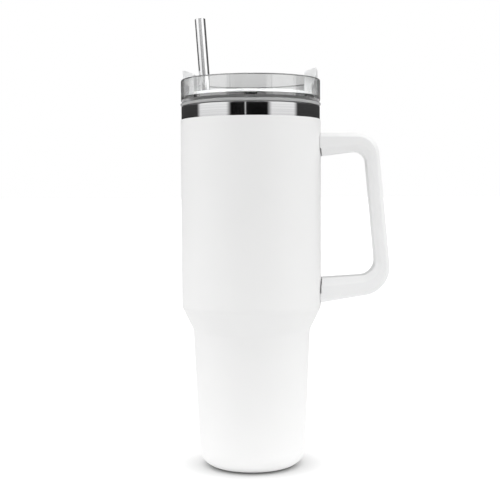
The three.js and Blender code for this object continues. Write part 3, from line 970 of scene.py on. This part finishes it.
def studio_stops():
    """Stops round the studio, from wall to wall, where each soft box fades in and out."""
    def wall(bearing):
        return bearing, BACK_WALL if abs(bearing) > BACK_BEGINS else FRONT_WALL

    stops = [wall(-180)]
    for middle, half, brightness in SOFT_BOXES:
        edge = min(BOX_EDGE, half)
        left, right = middle - half, middle + half
        stops += [wall(left - edge), (left, brightness), (right, brightness), wall(right + edge)]
    return stops + [wall(180)]


def build_world():
    """One world whose brightness depends on the kind of ray.

    The camera sees plain white. Polished metal sees dark walls with soft boxes, matt surfaces a
    room that is brighter at both sides, and clear plastic a grey backdrop. Light that reaches a
    matt piece through clear plastic comes from lamps.
    """
    world = bpy.data.worlds.new("studio")
    bpy.context.scene.world = world
    world.use_nodes = True
    tree = world.node_tree
    tree.nodes.clear()

    def maths(operation, *values):
        node = tree.nodes.new("ShaderNodeMath")
        node.operation = operation
        for socket, value in zip(node.inputs, values):
            if isinstance(value, bpy.types.NodeSocket):
                tree.links.new(value, socket)
            else:
                socket.default_value = value
        return node.outputs[0]

    def choose(factor, first, second):
        return maths("ADD", maths("MULTIPLY", factor, maths("SUBTRACT", second, first)), first)

    direction = tree.nodes.new("ShaderNodeTexCoord").outputs["Generated"]
    parts = tree.nodes.new("ShaderNodeSeparateXYZ")
    tree.links.new(direction, parts.inputs[0])
    x, y, z = parts.outputs
    bearing = maths("ARCTAN2", x, maths("MULTIPLY", y, -1))
    turn = maths("ADD", maths("DIVIDE", bearing, 2 * math.pi), 0.5)
    height = maths("ADD", maths("MULTIPLY", z, 0.5), 0.5)

    walls = ramp_of(tree, turn, studio_stops(), ROUND)
    walls_end = ramp_of(tree, height, [(0, 1), (0.86, 1), (0.9, 0), (1, 0)])
    ceiling = ramp_of(tree, height, [(0, 0), (0.88, 0), (0.93, 0.45), (1, 0.45)])
    front = ramp_of(tree, turn, [(-130, 0), (-110, 0.6), (-50, 0.8), (50, 0.75), (75, 0.5), (110, 0)], ROUND)
    raised = ramp_of(tree, height, [(0, 0), (0.551, 0), (0.562, 1), (0.62, 1), (0.65, 0), (1, 0)])
    rise_stops = [(0, 0.6), (0.5, 0.65), (0.535, 0.85), (0.545, 1.12), (0.56, 1.25), (1, 1.25)]
    rise = ramp_of(tree, height, rise_stops)
    walls = maths("MULTIPLY", maths("MULTIPLY", walls, rise), walls_end)
    glossy = maths("MAXIMUM", walls, ceiling)
    glossy = maths("MAXIMUM", glossy, maths("MULTIPLY", front, raised))

    room = ramp_of(tree, height, [(0, 0.7), (0.5, 0.83), (0.75, 0.9), (1, 1.27)])
    side_stops = [
        (-180, 0.75), (-135, 1.1), (-90, 1.84), (-45, 1.08), (0, 0.87),
        (45, 1.08), (90, 1.92), (135, 1.1), (180, 0.75),
    ]
    sides = ramp_of(tree, turn, side_stops, ROUND)
    matt = maths("MULTIPLY", room, sides)

    path = tree.nodes.new("ShaderNodeLightPath")
    lit = choose(path.outputs["Is Glossy Ray"], matt, glossy)
    behind_stops = [(-180, 0.69), (-140, 0.69), (-120, 0.2), (120, 0.2), (140, 0.69), (180, 0.69)]
    level_stops = [(0, 0.3), (0.42, 0.5), (0.46, 1), (0.6, 1), (0.66, 0.3), (1, 0.3)]
    behind = ramp_of(tree, turn, behind_stops, ROUND)
    backdrop = maths("MULTIPLY", behind, ramp_of(tree, height, level_stops))
    lamps = maths("MINIMUM", path.outputs["Diffuse Depth"], 1)
    through = choose(path.outputs["Is Transmission Ray"], lit, choose(lamps, backdrop, LAMP_BRIGHTNESS))
    background = tree.nodes.new("ShaderNodeBackground")
    tree.links.new(choose(path.outputs["Is Camera Ray"], through, 1.0), background.inputs["Color"])
    output = tree.nodes.new("ShaderNodeOutputWorld")
    tree.links.new(background.outputs[0], output.inputs["Surface"])


# The camera was fitted to the photo's silhouette. Its angles are in degrees.
CAMERA_DISTANCE = 747.3 * MM
CAMERA_HEIGHT = 194.7 * MM
CAMERA_DOWN, CAMERA_ROLL, CAMERA_TURN = 3.03, 0.33, 0.059


def build_camera():
    data = bpy.data.cameras.new("camera")
    data.sensor_width = 36
    data.lens = 74.77
    data.clip_end = 200
    camera = bpy.data.objects.new("camera", data)
    bpy.context.scene.collection.objects.link(camera)
    camera.location = (0, -CAMERA_DISTANCE, CAMERA_HEIGHT)
    camera.rotation_euler = [math.radians(angle) for angle in (90 - CAMERA_DOWN, CAMERA_ROLL, CAMERA_TURN)]
    bpy.context.scene.camera = camera


build_camera()
build_world()
build_floor()
build_shell()
build_band()
build_liner()
build_cap()
build_handle()
build_plugs()
build_lid()
build_gasket()
build_grommet()
build_pivot()
build_cover()
build_seal()
build_straw()
paint_hidden_pieces()

view = bpy.context.scene.view_settings
view.view_transform = "Standard"
view.look = "None"
